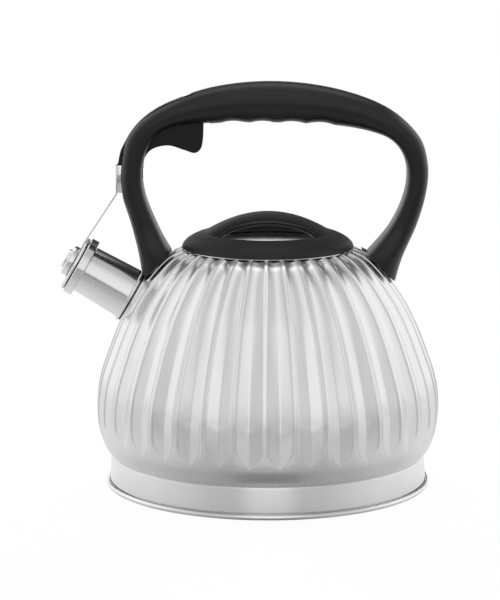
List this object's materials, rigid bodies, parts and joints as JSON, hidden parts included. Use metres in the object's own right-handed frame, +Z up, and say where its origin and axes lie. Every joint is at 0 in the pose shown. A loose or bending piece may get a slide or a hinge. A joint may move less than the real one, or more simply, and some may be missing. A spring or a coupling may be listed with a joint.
{
  "type": "stovetop whistling kettle",
  "caption": "Fluted stainless stovetop kettle with a plain base band, fixed black arch handle, lift-off lid and a squeeze trigger that swings the whistle cap off the spout.",
  "frame": {"origin": "centre of the flat base face that stands on the hob", "axes": "+Z up, spout towards -X, handle arch in the XZ plane, the pictured side faces -Y"},
  "size_m": [0.2225, 0.202, 0.2392],
  "materials": {
    "stainless_steel": "brushed",
    "fastener_steel": "plain",
    "black_plastic": "soft matte",
    "aluminium_core": "plain"
  },
  "bodies": {
    "kettle": {"body_shell": "stainless_steel", "base_skirt": "stainless_steel", "base_pan": "stainless_steel", "heat_spreader": "aluminium_core", "base_cover": "stainless_steel", "spout_tube": "stainless_steel", "spout_mouth_ring": "stainless_steel", "handle_bracket_left": "stainless_steel", "handle_bracket_right": "stainless_steel", "handle_front_shell": "black_plastic", "handle_rear_shell": "black_plastic", "handle_grip_screws": "fastener_steel", "handle_foot_screws": "fastener_steel", "lever_pivot_pin": "fastener_steel", "lever_return_spring": "fastener_steel"},
    "lid": {"lid_plate": "stainless_steel", "lid_skirt": "stainless_steel", "lid_cover": "black_plastic", "lid_screws": "fastener_steel"},
    "trigger": {"trigger_lever": "black_plastic", "whistle_strap": "stainless_steel", "strap_rivet": "fastener_steel", "whistle_cap_plate": "stainless_steel", "whistle_cup": "stainless_steel", "whistle_disc": "stainless_steel", "cap_rivets": "fastener_steel"}
  },
  "joints": [
    {"name": "lid_lift", "type": "slide", "parent": "kettle", "child": "lid", "axis": [0, 0, 1], "range_m": [0, 0.03]},
    {"name": "trigger_squeeze", "type": "hinge", "parent": "kettle", "child": "trigger", "pos_m": [-0.0396, 0, 0.2258], "axis": [0, 1, 0], "range_deg": [0, 12], "stiffness_Nm_per_rad": 0.12, "springref_deg": -20.05, "deforming": ["lever_return_spring"]}
  ]
}
